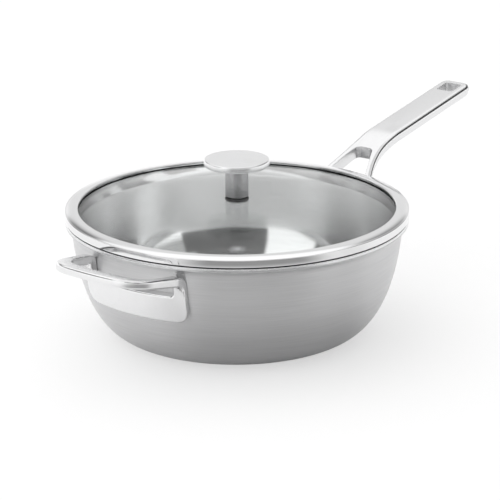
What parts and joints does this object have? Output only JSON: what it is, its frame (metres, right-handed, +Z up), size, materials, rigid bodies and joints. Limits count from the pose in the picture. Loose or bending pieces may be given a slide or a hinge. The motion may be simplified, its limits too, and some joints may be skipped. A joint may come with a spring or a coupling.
{
  "type": "saute pan with lid",
  "caption": "Stainless saute pan with curved sides, a long forked handle, a loop helper handle and a domed glass lid with a steel rim and a round knob.",
  "frame": {"origin": "middle of the flat underside of the base, on the pan's axis", "axes": "+Z up along the pan's axis, +X along the long handle, the helper handle at -X"},
  "size_m": [0.4708, 0.259, 0.1325],
  "materials": {
    "brushed_steel": "satin, brushed round the axis",
    "satin_steel": "fine satin with soft edges",
    "polished_steel": "polished",
    "core_aluminium": "matt",
    "lid_glass": "clear toughened glass",
    "silicone": "matt dark silicone"
  },
  "bodies": {
    "pan": {"pan_outer_layer": "brushed_steel", "pan_core": "core_aluminium", "pan_inner_layer": "brushed_steel", "long_handle": "satin_steel", "helper_handle": "satin_steel"},
    "seat_ring": {"lid_seat_ring": "silicone"},
    "lid": {"lid_rim": "polished_steel", "lid_gasket": "silicone", "lid_glass": "lid_glass", "knob_cap": "satin_steel", "knob_stem": "polished_steel", "knob_upper_washer": "silicone", "knob_bush": "silicone", "knob_lower_washer": "silicone", "knob_steel_washer": "polished_steel", "knob_screw": "polished_steel"}
  },
  "joints": [
    {"name": "lid_lift", "type": "slide", "parent": "pan", "child": "seat_ring", "axis": [0, 0, 1], "range_m": [0, 0.12]},
    {"name": "lid_turn", "type": "hinge", "parent": "seat_ring", "child": "lid", "pos_m": [0, 0, 0.1], "axis": [0, 0, 1], "continuous": true}
  ]
}
